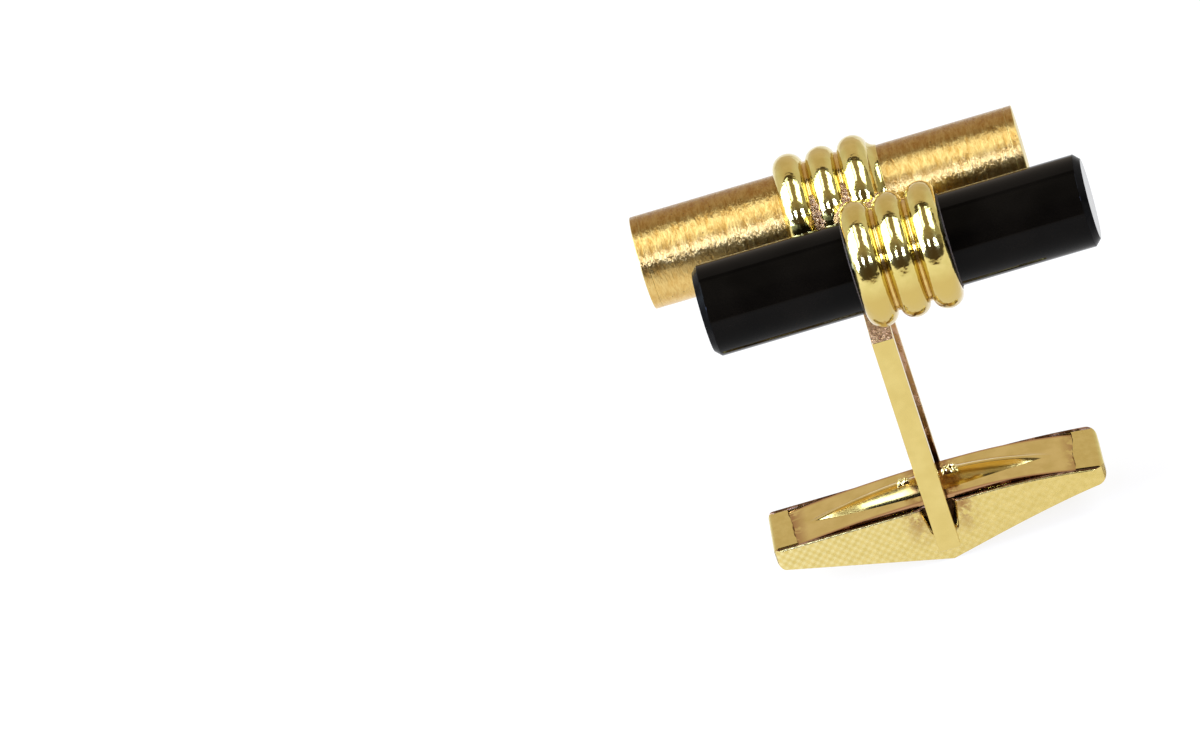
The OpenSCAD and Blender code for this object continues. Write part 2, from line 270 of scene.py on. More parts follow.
def inset(outline, by):
    """Closed outline moved inwards: each point goes along the sum of its two side normals,
    divided by one plus their dot product, so both sides move by the same amount."""
    side = np.roll(outline, -1, 0) - outline
    side = side / np.maximum(np.linalg.norm(side, axis=1), 1e-12)[:, None]
    area = np.sum(outline[:, 0] * np.roll(outline[:, 1], -1)
                  - np.roll(outline[:, 0], -1) * outline[:, 1])
    normal = np.stack([-side[:, 1], side[:, 0]], 1) * (1 if area > 0 else -1)
    last = np.roll(normal, 1, 0)
    return outline + by * (normal + last) / (1 + np.sum(normal * last, 1))[:, None]


def fan_volume(corners):
    """Six times the signed volume under faces[face, corner, xyz], as fans of triangles."""
    first = np.broadcast_to(corners[:, :1], corners[:, 1:-1].shape)
    return np.sum(first * np.cross(corners[:, 1:-1], corners[:, 2:]))


def piece(name, rings, material, body, replaced=(), ring_loop=False, sharp=32,
          extra=()):
    """Closed mesh from rings[row, column, xyz] in mm: quads join each point to the next in
    its ring and in the next ring. A loop of rings closes on itself, and an open row gets a
    flat face at each end. The signed volume says whether the faces have to be turned over.
    The UV map holds the distance along the rows and round the rings, in mm."""
    rows, columns = rings.shape[:2]
    row = np.arange(rows if ring_loop else rows - 1)[:, None, None] + (0, 0, 1, 1)
    column = np.arange(columns)[None, :, None] + (0, 1, 1, 0)
    quads = (row % rows * columns + column % columns).reshape(-1, 4)
    around = np.concatenate([rings, rings[:1]]) if ring_loop else rings
    along = np.r_[0, np.cumsum(np.linalg.norm(np.diff(around, axis=0), axis=2).mean(1))]
    wrapped = np.concatenate([rings, rings[:, :1]], 1)
    across = np.r_[0, np.cumsum(np.linalg.norm(np.diff(wrapped, axis=1), axis=2).mean(0))]
    uv = list(np.stack(np.broadcast_arrays(along[row], across[column]), -1).reshape(-1, 4, 2))
    points = rings.reshape(-1, 3)
    ends = []
    if not ring_loop:
        ends = [np.arange(columns)[::-1], (rows - 1) * columns + np.arange(columns)]
    faces = quads.tolist() + [end.tolist() for end in ends]
    uv += [points[end][:, 1:] for end in ends]
    volume = fan_volume(points[quads]) + sum(fan_volume(points[end][None]) for end in ends)
    if volume < 0:
        faces = [face[::-1] for face in faces]
        uv = [places[::-1] for places in uv]
    mesh = bpy.data.meshes.new(name)
    mesh.from_pydata((points * MM).tolist(), [], faces)
    layer = mesh.uv_layers.new(name="surface")
    layer.data.foreach_set("uv", np.concatenate(uv).astype(np.float32).ravel())
    mesh.shade_smooth()
    mesh.set_sharp_from_angle(angle=math.radians(sharp))
    made = bpy.data.objects.new(name, mesh)
    bpy.context.scene.collection.objects.link(made)
    for finish in (material, *extra):
        mesh.materials.append(finish)
    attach(made, body)
    if replaced:
        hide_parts(*replaced)
    print(name, "faces:", len(faces), "volume in mm3:", round(abs(volume) / 6, 2))
    return made


def colour_faces(made, test, index):
    """Give another finish to the faces whose centre and normal pass a test."""
    count = len(made.data.polygons)
    centre, normal = np.empty(count * 3), np.empty(count * 3)
    made.data.polygons.foreach_get("center", centre)
    made.data.polygons.foreach_get("normal", normal)
    chosen = test(centre.reshape(-1, 3) / MM, normal.reshape(-1, 3))
    used = np.empty(count, np.int32)
    made.data.polygons.foreach_get("material_index", used)
    made.data.polygons.foreach_set("material_index", np.where(chosen, index, used))
    print(made.name, "faces with finish", index, ":", int(chosen.sum()))


def xyz(x, y, z):
    """Points from their coordinates: numbers, or arrays that fit each other."""
    return np.stack(np.broadcast_arrays(x, y, z), -1)


def turned(profile, axis_y, axis_z, steps=160):
    """Rings of a turned surface round a rod: a profile point (x, r) becomes the circle
    x, axis_y + r cos t, axis_z + r sin t."""
    t = np.linspace(0, 2 * math.pi, steps, endpoint=False)
    x, r = profile[:, 0, None], profile[:, 1, None]
    return xyz(x, axis_y + r * np.cos(t), axis_z + r * np.sin(t))


def quarter(count):
    """Angles from 0 to a right angle."""
    return np.linspace(0, math.pi / 2, count)


def mirrored(half):
    """The other half of an outline of corners (a, b, radius), in order."""
    return [(-a, b, radius) for a, b, radius in reversed(half)]


def limits(node):
    """Lowest and highest corner of a CAD node, in mm."""
    return [np.array(corner, float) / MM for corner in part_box(node)]


def middle(node):
    """Middle of a CAD node, and half its size along x, y and z, in mm."""
    low, high = limits(node)
    return (low + high) / 2, (high - low) / 2


def ease(value):
    """Smooth step from 0 to 1."""
    value = np.clip(value, 0, 1)
    return value * value * (3 - 2 * value)


def two_faced(upper, under):
    """Rings that run over the upper face's points and back over the under face's."""
    return np.concatenate([upper, under[:, ::-1]], 1)


# %% Measure what both finishes and shapes need
POST_X = middle("post_strap")[0][0]
BOAT_W = limits("toggle_shell")[1][1]
print("post at x:", round(POST_X, 3), "boat's half width:", round(BOAT_W, 3))


# %% [markdown]
# Shared effects for the metals
#
# Four small node groups carry what the finishes have in common: fine lines left by an abrasive
# pad, the shallow unevenness of hand-finished metal, crumpled solder, and a brown stain.
# Each is built once and placed in a material with its own values. The groups give out masks
# and heights only, and the shader itself stays in each material.

# %% Build the node groups
def group(name, numbers, outputs):
    """An empty node group with a Vector input, numbers with their values, and outputs. Returns
    it, the sockets that it is given and the sockets that it has to fill."""
    made = bpy.data.node_groups.new(name, "ShaderNodeTree")
    made.interface.new_socket(name="Vector", in_out="INPUT", socket_type="NodeSocketVector")
    for label in (*numbers, *outputs):
        socket = made.interface.new_socket(
            name=label, in_out="INPUT" if label in numbers else "OUTPUT",
            socket_type="NodeSocketFloat")
        if label in numbers:
            socket.default_value = numbers[label]
    given = list(made.nodes.new("NodeGroupInput").outputs)[:1 + len(numbers)]
    return made, given, made.nodes.new("NodeGroupOutput").inputs


def noise(vector, scale, detail=2.0, rough=0.5, warp=0.0):
    """A noise texture read at a vector. Returns its value output."""
    return add("TexNoise", {"Vector": vector, "Scale": scale, "Detail": detail,
                            "Roughness": rough, "Distortion": warp}).outputs["Fac"]


brush_group, (vector, across, along), result = group(
    "brushed lines", {"Per mm across": 24.0, "Per mm along": 1.6}, ["Height", "Mask"])
scales = add("CombineXYZ", {0: across, 1: along}).outputs[0]
stretched = add("VectorMath", {0: vector, 1: scales}, operation="MULTIPLY").outputs[0]
fine = maths("MULTIPLY", noise(stretched, 1.0, 3.0, 0.6), 0.5)
coarse = noise(stretched, 0.31, 1.0)
feed(result, {"Height": maths("MULTIPLY_ADD", coarse, 0.5, fine), "Mask": coarse})

uneven_group, (vector, per_mm, grain_per_mm), result = group(
    "hand-finished surface", {"Per mm": 1.2, "Grain per mm": 18.0}, ["Height", "Mask", "Grain"])
soft = noise(vector, per_mm)
grain = noise(vector, grain_per_mm, rough=0.6)
feed(result, {"Height": maths("MULTIPLY_ADD", grain, 0.08, soft), "Mask": soft,
              "Grain": grain})

crumple_group, (vector, per_mm), result = group(
    "crumpled solder", {"Per mm": 7.0}, ["Height", "Mask"])
creases = noise(vector, per_mm, 4.0, 0.65, 0.8)
pits = noise(vector, maths("MULTIPLY", per_mm, 3.1), rough=0.6)
feed(result, {"Height": maths("MULTIPLY_ADD", pits, 0.35, creases), "Mask": creases})

stain_group, (vector, per_mm, amount), result = group(
    "brown stain", {"Per mm": 2.0, "Amount": 0.5}, ["Mask"])
blots = noise(vector, per_mm, 5.0, 0.65)
over = maths("SUBTRACT", maths("ADD", blots, amount), 1.0)
feed(result, {"Mask": maths("MULTIPLY", over, 9.0, clamp=True)})
print("node groups:", [made.name for made in bpy.data.node_groups])


# %% Place effects and mix masks in a material
def new_material(name):
    """A material with a Principled shader alone. Returns it, the shader's inputs and the
    object coordinates in mm: metres times a thousand."""
    made = bpy.data.materials.new(name)
    made.use_nodes = True
    tree = made.node_tree
    tree.nodes.clear()
    shader = add("BsdfPrincipled", tree=tree)
    add("OutputMaterial", {0: shader.outputs[0]})
    metres = add("TexCoord", tree=tree).outputs["Object"]
    place = add("VectorMath", {0: metres, "Scale": 1 / MM}, operation="SCALE").outputs[0]
    return made, shader.inputs, place


def effect(used, vector, *numbers):
    """Place a node group: a vector, and numbers for its other inputs in their order. Returns
    its outputs."""
    return add("Group", dict(enumerate((vector, *numbers))), node_tree=used).outputs


def bump(height, strength, depth):
    """The normal that a Bump node gives for a height: depth is in mm."""
    values = {"Strength": strength, "Distance": depth * MM, "Height": height}
    return add("Bump", values).outputs[0]


def between(mask, low, high):
    """Map a mask of 0..1 to low..high."""
    return add("MapRange", {"Value": mask, "To Min": low, "To Max": high}).outputs[0]


def tint(mask, first, second, low=0.35, high=0.65):
    """Blend from one colour to another as the mask goes from low to high."""
    return ramp(mask, [(low, first), (high, second)])


def blend(mask, first, second):
    """Mix two colours, each a socket or a constant, by a mask."""
    return add("MixRGB", {0: mask, 1: first, 2: second}).outputs[0]


def split_mm(vector):
    """The x, y and z outputs of a vector."""
    return add("SeparateXYZ", {0: vector}).outputs


def near(value, place, reach):
    """Mask that is 1 where a value is at a place and falls evenly to 0 a reach away."""
    away = maths("ABSOLUTE", maths("SUBTRACT", value, place))
    return maths("SUBTRACT", 1.0, maths("DIVIDE", away, reach), clamp=True)


GOLD = {"Metallic": 1.0}


def plain_finish(name, used, numbers, colours, gloss, relief=None, constants=GOLD,
                 recolour=None):
    """Material with one effect: its mask blends two colours, which recolour may change. Gloss
    is (output, lowest roughness, highest), and relief is a bump's (output, strength, depth)."""
    made, inputs, place = new_material(name)
    given = effect(used, place, *numbers)
    colour = tint(given["Mask"], *colours)
    if recolour:
        colour = recolour(place, colour)
    feed(inputs, {**constants, "Base Color": colour,
                  "Roughness": between(given[gloss[0]], *gloss[1:])})
    if relief:
        feed(inputs, {"Normal": bump(given[relief[0]], *relief[1:])})
    return made


# %% [markdown]
# Gold finishes
#
# One alloy is seen in many finishes. The tube was rubbed round and round with an abrasive, so
# fine lines run round it and break up the edge of every reflection, and its underside is
# painted paler: a painted reflection of the white floor. The ribs and the spring plate are
# polished, and the ribs are painted browner below: painted shade. The strap, the end discs
# and the toggle's walls are satin from a fine mop. A metal has no paint: its base colour is
# the colour that it gives to what it reflects. Insides, gaps and edges that lie in shade are
# painted dark: painted shade.

# %% Satin gold of the tube
PAINTED_LIGHT_FROM, PAINTED_LIGHT_OVER = 21.5, 1.2
satin_gold, inputs, place = new_material("satin gold, brushed round")
uv = add("UVMap", tree=satin_gold.node_tree, uv_map="surface").outputs[0]
tangent = add("Tangent", tree=satin_gold.node_tree, direction_type="UV_MAP", uv_map="surface")
lines = effect(brush_group, uv, 11.0, 3.6)
uneven = effect(uneven_group, place, 0.8, 14.0)
scattered = add("TexVoronoi", {"Vector": place, "Scale": 1.7}).outputs["Distance"]
pit = maths("LESS_THAN", scattered, 0.07)
rubbed = tint(lines["Height"], (0.36, 0.18, 0.035), (0.54, 0.345, 0.105), 0.38, 0.62)
paler_painted_reflection = tint(lines["Height"], (0.70, 0.43, 0.12), (0.86, 0.62, 0.23), 0.38, 0.62)
# Painted reflection: below a height the tube's base colour goes over to a paler gold, standing in
# for the white floor that its underside mirrors.
below = maths("SUBTRACT", PAINTED_LIGHT_FROM, split_mm(place)[2])
painted_reflection_mask = maths("DIVIDE", below, PAINTED_LIGHT_OVER, clamp=True)
rubbed = blend(painted_reflection_mask, rubbed, paler_painted_reflection)
height = maths("MULTIPLY_ADD", uneven["Height"], 0.3, lines["Height"])
feed(inputs, {**GOLD, "Anisotropic": 1.0, "Tangent": tangent.outputs[0],
              "Base Color": blend(maths("MULTIPLY", pit, 0.7), rubbed, (0.16, 0.08, 0.03)),
              "Roughness": between(lines["Mask"], 0.26, 0.42),
              "Normal": bump(maths("SUBTRACT", height, pit), 0.8, 0.10)})

# %% Pale satin gold of the end discs
disc_gold = plain_finish("satin gold, end disc", uneven_group, (0.7, 22.0),
                         ((0.70, 0.55, 0.18), (0.76, 0.61, 0.22)), ("Grain", 0.26, 0.40),
                         ("Height", 0.25, 0.02))

# %% Polished gold of the ribs
SHADE_BELOW_FROM = 20.6


def painted_shade_below(place, colour):
    """Painted shade: goes over to a browner gold within the millimetre below a height, for the
    shaded underside of each rib.
    """
    depth = maths("SUBTRACT", SHADE_BELOW_FROM, split_mm(place)[2], clamp=True)
    return blend(depth, colour, (0.60, 0.44, 0.13))


rib_gold = plain_finish("polished gold, ribs", uneven_group, (1.6, 9.0),
                        ((0.67, 0.54, 0.17), (0.74, 0.60, 0.21)), ("Mask", 0.05, 0.14),
                        ("Height", 0.45, 0.08), recolour=painted_shade_below)

# %% Warm gold in the valleys between the ribs
valley_gold = plain_finish("warm gold, sleeves", uneven_group, (1.3, 10.0),
                           ((0.58, 0.37, 0.11), (0.74, 0.52, 0.18)), ("Mask", 0.08, 0.2),
                           ("Height", 0.4, 0.03))

# %% Satin gold of the strap
strap_gold = plain_finish("satin gold, strap", uneven_group, (0.9, 16.0),
                          ((0.68, 0.52, 0.17), (0.73, 0.57, 0.20)), ("Grain", 0.14, 0.24),
                          ("Height", 0.2, 0.02))

# %% Brown gold with painted shade, inside the post and the toggle
POST_TOP = 16.0
inner_gold_painted_shade, inputs, place = new_material("brown gold with painted shade, insides")
stain = effect(stain_group, place, 1.1, 0.52)["Mask"]
height = maths("DIVIDE", split_mm(place)[2], POST_TOP)
# Painted shade: darker towards the bottom, where the insides of the post and of the toggle lie in
# shade. The stain over it is a real brown stain.
shaded = tint(height, (0.10, 0.045, 0.015), (0.50, 0.27, 0.09), 0.2, 0.9)
stained = blend(maths("MULTIPLY", stain, 0.6), shaded, (0.62, 0.38, 0.26))
feed(inputs, {**GOLD, "Base Color": stained, "Roughness": between(stain, 0.22, 0.36),
              "Normal": bump(stain, 0.3, 0.02)})

# %% Satin gold of the toggle's walls
NET_PITCH = 0.48
PRESSED_SHADE_FROM, PRESSED_SHADE_REACH = BOAT_W - 0.10, 1.5
STAIN_ALONG, STAIN_HIGH = (1.3, 0.9), (3.3, 2.2)


def wave(value):
    """Sine of a value in mm, from 0 to 0.5, that repeats after the net's pitch."""
    turn_by = maths("MULTIPLY", value, 2 * math.pi / NET_PITCH)
    return maths("MULTIPLY_ADD", maths("SINE", turn_by), 0.25, 0.25)


def worn_gold(name, pale, deep, rough, net_depth):
    """Gold with brown stains beside the post. The walls also have a faint diagonal net, rolled in
    and worn off towards the right, and are painted nearly black where they are pressed in beside
    the leg: painted shade for the shadowed gap there."""
    made, inputs, place = new_material(name)
    x, y, z = split_mm(place)
    uneven = effect(uneven_group, place, 2.4, 12.0)
    along = maths("ABSOLUTE", maths("SUBTRACT", x, POST_X))
    stain = effect(stain_group, place, 1.6, 0.62)["Mask"]
    beside = maths("MULTIPLY", near(along, *STAIN_ALONG), near(z, *STAIN_HIGH))
    stained = maths("MULTIPLY", stain, beside)
    colour = tint(uneven["Mask"], deep, pale)
    height = uneven["Height"]
    if net_depth:
        net = maths("ADD", wave(maths("ADD", x, z)), wave(maths("SUBTRACT", x, z)))
        height = maths("MULTIPLY_ADD", net, net_depth, height)
        worn_off = maths("MULTIPLY_ADD", x, -0.035, 0.30, clamp=True)
        dots = maths("MULTIPLY", maths("POWER", net, 1.5), worn_off)
        colour = blend(dots, colour, (0.92, 0.82, 0.44))
    colour = blend(stained, colour, (0.36, 0.19, 0.07))
    # Painted shade: nearly black where the wall is pressed in beside the leg, standing in for the
    # shadowed gap there.
    if net_depth:
        inward = maths("SUBTRACT", PRESSED_SHADE_FROM, maths("ABSOLUTE", y))
        inward = maths("MULTIPLY", inward, 9.0, clamp=True)
        pressed = maths("MULTIPLY", inward, near(along, 0.0, PRESSED_SHADE_REACH))
        pressed = maths("MULTIPLY", pressed, 2.5, clamp=True)
        colour = blend(pressed, colour, (0.035, 0.018, 0.008))
    feed(inputs, {**GOLD, "Base Color": colour, "Normal": bump(height, 0.35, 0.03),
                  "Roughness": between(uneven["Grain"], *rough)})
    return made


toggle_gold = worn_gold("satin gold, toggle", (0.75, 0.58, 0.20), (0.67, 0.51, 0.155),
                        (0.20, 0.32), 0.5)
tab_gold = worn_gold("smooth gold, tabs", (0.75, 0.61, 0.22), (0.69, 0.55, 0.18),
                     (0.16, 0.24), 0.0)

# %% Polished gold of the spring plate
SHADED_EDGE_FROM, BY_TABS, BY_POST = 1.58, (7.9, 0.8), (0.9, 0.8)


def stained_and_shaded_plate(place, colour):
    """Brown along both edges, a painted shade of the gap between plate and walls, and real brown
    stains near the tabs and beside the post.
    """
    x, y, z = split_mm(place)
    # Painted shade: brown along both edges.
    past = maths("SUBTRACT", maths("ABSOLUTE", y), SHADED_EDGE_FROM)
    colour = blend(maths("MULTIPLY", past, 6.0, clamp=True), colour, (0.48, 0.26, 0.13))
    along = maths("ABSOLUTE", maths("SUBTRACT", x, POST_X))
    beside = maths("MAXIMUM", near(along, *BY_TABS), near(along, *BY_POST))
    stain = effect(stain_group, place, 1.5, 0.60)["Mask"]
    return blend(maths("MULTIPLY", stain, beside), colour, (0.44, 0.25, 0.10))


plate_gold = plain_finish("polished gold, spring plate", uneven_group, (1.1, 14.0),
                          ((0.69, 0.54, 0.185), (0.78, 0.62, 0.24)), ("Grain", 0.07, 0.14),
                          ("Height", 0.25, 0.02), recolour=stained_and_shaded_plate)

# %% Coppery solder
solder_copper = plain_finish("coppery solder", crumple_group, (6.0,),
                             ((0.22, 0.09, 0.035), (0.80, 0.54, 0.28)), ("Mask", 0.08, 0.32),
                             ("Height", 1.0, 0.16))

# %% Onyx and the cement round it
onyx_black = plain_finish("polished black onyx", uneven_group, (0.35, 30.0),
                          ((0.0012, 0.0009, 0.0006), (0.0030, 0.0022, 0.0014)),
                          ("Grain", 0.01, 0.035), ("Grain", 0.02, 0.004), {"IOR": 1.16})
onyx_ground = plain_finish("ground onyx, chamfers", uneven_group, (1.0, 26.0),
                           ((0.002, 0.0018, 0.0016), (0.006, 0.005, 0.004)),
                           ("Grain", 0.15, 0.3), constants={"IOR": 1.10})
onyx_end = plain_finish("sawn onyx, end faces", uneven_group, (1.0, 20.0),
                        ((0.010, 0.008, 0.005), (0.018, 0.014, 0.009)),
                        ("Grain", 0.03, 0.09), constants={"IOR": 1.24})
cement_brown = plain_finish("dark cement", crumple_group, (9.0,),
                            ((0.03, 0.02, 0.014), (0.09, 0.06, 0.04)), ("Mask", 0.45, 0.8),
                            ("Height", 0.5, 0.02), constants={})
print("materials:", len(bpy.data.materials))


# %% [markdown]
# The gold tube and its end discs
#
# A drawn tube with a disc soldered over each end and filed flush. It is turned work, so it is
# made as a profile carried round the rod's axis. Each edge gets a very small radius, because
# the fine dark line between tube and disc in the photograph is that pair of edges. A finer
# line is cut into the disc's face just inside its rim.

# %% Turn the gold tube
low, high = limits("gold_tube")
(_, GOLD_Y, ROD_Z), (_, _, GOLD_R) = middle("gold_tube")
TUBE_WALL, EDGE = 0.35, 0.025
profile = rounded([(low[0], GOLD_R, EDGE), (high[0], GOLD_R, EDGE),
                   (high[0], GOLD_R - TUBE_WALL, 0), (low[0], GOLD_R - TUBE_WALL, 0)], 3)
piece("satin_gold_tube", turned(profile, GOLD_Y, ROD_Z), satin_gold, "face", ["gold_tube"],
      ring_loop=True)

# %% Turn the end discs
DISC_EDGE, LINE_DEEP = 0.05, 0.02
line_out, line_mid, line_in = GOLD_R * 0.90, GOLD_R * 0.89, GOLD_R * 0.88
for side, end in ((-1, "left"), (1, "right")):
    node = "gold_end_cap_" + end
    low, high = limits(node)
    inner, outer = (high[0], low[0]) if side < 0 else (low[0], high[0])
    profile = rounded([(inner, line_out, 0), (inner, GOLD_R, EDGE), (outer, GOLD_R, DISC_EDGE),
                       (outer, line_out, 0), (outer - side * LINE_DEEP, line_mid, 0),
                       (outer, line_in, 0)], 4, closed=False)
    disc = piece("end_disc_" + end, turned(profile, GOLD_Y, ROD_Z), disc_gold, "face", [node],
                 extra=[satin_gold])
    colour_faces(disc, lambda centre, normal: np.abs(normal[:, 0]) < 0.5, 1)


# %% [markdown]
# The onyx rod
#
# Black onyx ground round and polished. A stone cutter leaves a narrow chamfer round each end,
# because a sharp edge would chip. The chamfer is ground but not polished. The right end was
# sawn about 3 degrees out of square, so its flat face is seen as a pale sliver: stone seen
# almost along its surface mirrors the white paper.

# %% Turn the onyx rod
low, high = limits("onyx_rod")
(_, ONYX_Y, _), (_, _, ONYX_R) = middle("onyx_rod")
CHAMFER, SOFT = 0.35, 0.07
profile = rounded([(low[0], ONYX_R * 0.7, 0), (low[0], ONYX_R - CHAMFER, SOFT),
                   (low[0] + CHAMFER, ONYX_R, SOFT), (high[0] - CHAMFER, ONYX_R, SOFT),
                   (high[0], ONYX_R - CHAMFER, SOFT), (high[0], ONYX_R * 0.7, 0)],
                  5, closed=False)
rings = turned(profile, ONYX_Y, ROD_Z)
OUT_OF_SQUARE = math.tan(math.radians(3))
at_end = rings[:, :, 0] > high[0] - CHAMFER - 2 * SOFT
rings[..., 0] -= at_end * OUT_OF_SQUARE * (ONYX_Y - rings[..., 1])
onyx_rod = piece("onyx_rod_polished", rings, onyx_black, "face", ["onyx_rod"],
                 extra=[onyx_ground, onyx_end])
colour_faces(onyx_rod, lambda centre, normal: np.abs(normal[:, 0]) > 0.3, 1)
colour_faces(onyx_rod, lambda centre, normal: np.abs(normal[:, 0]) > 0.95, 2)


# %% [markdown]
# The collars
#
# Each collar is a thin sleeve with three rings of round wire soldered on, so tightly that the
# solder fills the valleys between them with a soft hollow. The sleeve's profile swells into
# those hollows, and the wires are closed rings of a circle that is cut off inside the sleeve.
# Where the two collars meet, the wires are dressed flat.

# %% Make a sleeve with its filled valleys
VALLEY_R = 0.24
LIP_R = {"gold": 0.03, "onyx": 0.10}
TRIM = {"gold": (0.45, 0.0), "onyx": (0.16, 0.16)}
FLARE_LEFT, FLARE_RIGHT, FLARE_FOOT, RIB_FLANK = 0.12, 0.47, 0.05, 0.85
SWELL_SIDE, SWELL_SUNK, SMOOTH_OVER = 0.30, 0.10, 29


def sleeve_profile(label, low, high, inner, outer, ribs, wire_r, wire_centre):
    """Closed profile of a sleeve with its ends trimmed. Its outer radius is the sleeve's own,
    raised near the ribs by a fillet, which is the larger of rib circle and sleeve, smoothed
    and kept near the circle.
    The gold tube's sleeve flares instead beyond its outer ribs, less on the left: its height
    over the tube falls with the square of the distance that is left to its end."""
    lip = LIP_R[label]
    low, high = low + TRIM[label][0], high - TRIM[label][1]
    x = np.linspace(low + lip, high - lip, 300)
    circle = np.full_like(x, outer)
    for rib_x in ribs:
        inside = np.clip(wire_r ** 2 - (x - rib_x) ** 2, 0, None)
        circle = np.maximum(circle, wire_centre + np.sqrt(inside) - SWELL_SIDE * (inside == 0))
    bare = np.pad(np.maximum(circle - SWELL_SUNK, outer), SMOOTH_OVER // 2, mode="edge")
    kernel = np.hanning(SMOOTH_OVER)
    raised = np.convolve(bare, kernel / kernel.sum(), "valid")
    raised = np.minimum(raised, circle + VALLEY_R)
    if label == "gold":
        outside = np.maximum(ribs[0] - x, x - ribs[-1]) - wire_r * RIB_FLANK
        reach = np.where(x > ribs[1], high - ribs[-1], ribs[0] - low) - wire_r * RIB_FLANK
        left_over = np.clip(1 - outside / reach, 0, 1)
        flare = np.where(x > ribs[1], FLARE_RIGHT, FLARE_LEFT)
        raised = np.where(outside > 0, inner + FLARE_FOOT + flare * left_over ** 2, raised)
    ends = quarter(5)
    curve = np.stack([lip * (1 - np.sin(ends)), -lip * (1 - np.cos(ends))], 1)
    left = curve + (low, raised[0])
    right = curve * (-1, 1) + (high, raised[-1])
    return np.concatenate([[(low, inner)], left[::-1], np.stack([x, raised], 1)[1:-1], right,
                           [(high, inner)]])


# %% Bend the ribs round both sleeves
RIB_WIDE, RIB_SUNK = 1.08, 0.14
HAND_BENT = {("gold", 1): 0.0, ("gold", 2): -0.09, ("gold", 3): -0.02,
             ("onyx", 1): -0.01, ("onyx", 2): -0.04, ("onyx", 3): 0.0}


def collar(label, axis_y, inner):
    """Sleeve and ribs of one collar. A rib is the circle of its wire carried round the rod,
    and each wire stands a little more or less high, because it was bent by hand."""
    sleeve_node = label + "_collar_sleeve"
    rib_nodes = [f"{label}_collar_rib_{number}" for number in (1, 2, 3)]
    low, high = limits(sleeve_node)
    outer = middle(sleeve_node)[1][2]
    centres = [middle(node)[0][0] for node in rib_nodes]
    crest = limits(rib_nodes[0])[1][2] - ROD_Z
    wire_r = middle(rib_nodes[0])[1][0]
    profile = sleeve_profile(label, low[0], high[0], inner, outer, centres, wire_r, crest - wire_r)
    sleeve = piece(label + "_sleeve_filled", turned(profile, axis_y, ROD_Z, 200), valley_gold,
                   "face", [sleeve_node], ring_loop=True, extra=[rib_gold])
    colour_faces(sleeve, lambda centre, normal: (centre[:, 0] < centres[0] - wire_r * 0.7)
                 | (centre[:, 0] > centres[-1] + wire_r * 0.7), 1)
    side = 1 if axis_y > 0 else -1
    reach = math.acos((outer - RIB_SUNK - crest + wire_r) / wire_r)
    for number, (node, x) in enumerate(zip(rib_nodes, centres), 1):
        lift = HAND_BENT[label, number]
        t = np.linspace(-reach, reach, 40)
        profile = np.stack([x + RIB_WIDE * wire_r * np.sin(t),
                            crest + lift - wire_r + wire_r * np.cos(t)], 1)
        rings = turned(profile, axis_y, ROD_Z, 220)
        rings[..., 1] = side * np.maximum(side * rings[..., 1], 0)
        piece(f"{label}_rib_wire_{number}", rings, rib_gold, "face", [node],
              ring_loop=True, sharp=40)
    return centres, wire_r, crest


gold_ribs, WIRE_R, CREST = collar("gold", GOLD_Y, GOLD_R)
collar("onyx", ONYX_Y, middle("onyx_cement")[1][2])


# %% [markdown]
# The post strap
#
# One flat bar bent into a stirrup: two legs and a bridge under the collars. It is the same
# outline all across its width, so the outline is repeated from one side to the other, and
# drawn in a little at both sides for the rounded edges. The outside of each bend is cut flat,
# and that cut is left rough and coppery where solder ran over it.

# %% Bend the strap
STRAP_THICK, BEND_R, BEND_CUT, CUT_CORNER = 0.85, 1.5, 1.55, 0.05
LEG_CORNER, STRAP_EDGE = 0.1275, 0.07
low, high = limits("post_strap")
leg_out, leg_end, bridge_top = high[1], low[2], high[2]
leg_in, bridge_half = leg_out - STRAP_THICK, leg_out - BEND_CUT
half_outline = [(leg_in, bridge_top - STRAP_THICK, BEND_R), (leg_in, leg_end, LEG_CORNER),
                (leg_out, leg_end, LEG_CORNER), (leg_out, bridge_top - BEND_CUT, CUT_CORNER),
                (bridge_half, bridge_top, CUT_CORNER)]
outline = rounded(half_outline + mirrored(half_outline), 8)


def across_rings(outline, low, high, edge):
    """Rings of one outline from low to high: near each side it is drawn in by
    edge (1 - sin t) while it moves out by edge (1 - cos t), a quarter circle."""
    t = quarter(5)
    draw = np.r_[edge * 1.3, edge * (1 - np.sin(t)), edge * (1 - np.sin(t[::-1])), edge * 1.3]
    at = np.r_[low, low + edge * (1 - np.cos(t)), high - edge * (1 - np.cos(t[::-1])), high]
    flat = np.stack([inset(outline, by) for by in draw])
    return xyz(at[:, None], flat[..., 0], flat[..., 1])


rings = across_rings(outline, low[0], high[0], STRAP_EDGE)
strap = piece("bent_strap", rings, strap_gold, "face", ["post_strap"],
              extra=[solder_copper, inner_gold_painted_shade])


# %% Mark the coppery cuts, and the insides and undersides that get painted shade
colour_faces(strap, lambda centre, normal: (normal[:, 2] > 0.4)
             & (centre[:, 2] > bridge_top - BEND_CUT), 1)
# The faces turned inwards and downwards get the brown gold with painted shade.
colour_faces(strap, lambda centre, normal: (normal[:, 1] * np.sign(centre[:, 1]) < -0.3)
             | (normal[:, 2] < -0.7), 2)


# %% [markdown]
# Solder between the collars and on the strap
#
# Solder was melted into the groove between the collars, above and below, and between the
# collars and the bridge. It froze with a crumpled, coppery skin. Each bed is a cushion whose
# top is hollow like a meniscus, roughened with folds made of a few crossing waves, and its
# lower half stays hidden in the collars.

# %% Pour the solder
FOLD_PITCH = 1.1
BED_FOLDS, BED_RIM, BED_SUNK = 0.16, 0.15, 0.10
SEAM_PAST, SEAM_HALF = 0.5, 0.95
STRAP_BED_INSET, STRAP_BED_WIDE = 0.03, 1.06


